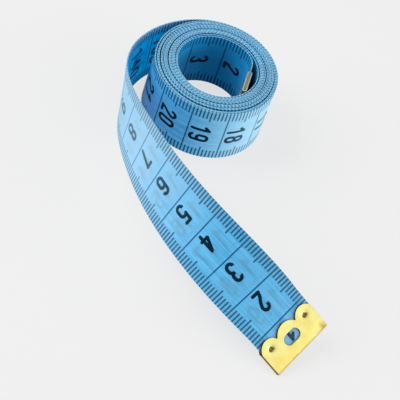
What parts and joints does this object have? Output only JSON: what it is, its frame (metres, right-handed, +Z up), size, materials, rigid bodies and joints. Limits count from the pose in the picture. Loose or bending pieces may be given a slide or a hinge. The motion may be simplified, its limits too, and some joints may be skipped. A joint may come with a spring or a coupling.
{
  "type": "cloth tape measure",
  "caption": "Flexible printed tape wound into a coil standing on its edge; the outer end loops round the coil, twists over and lies down, with a scalloped brass clip folded over each end.",
  "frame": {"origin": "middle of the base of the bounding box, on the surface that the coil stands on", "axes": "+Z up along the axis of the coil, -Y towards the clipped free end, +X to the right seen from there"},
  "size_m": [0.0712, 0.0944, 0.0227],
  "materials": {
    "tape": "woven glass cloth coated with satin blue PVC, printed in near black",
    "clip": "polished stamped brass sheet"
  },
  "bodies": {
    "coil": {"tape_coil": "tape", "tape_loop": "tape", "inner_end_clip": "clip"},
    "tail": {"tape_tail": "tape", "outer_end_clip": "clip"}
  },
  "joints": [
    {"name": "tail_swing", "type": "hinge", "parent": "coil", "child": "tail", "pos_m": [-0.03186, 0.01068, 0.01142], "axis": [0, 0, 1], "range_deg": [-40, 45], "stiffness_Nm_per_rad": 0.002}
  ]
}
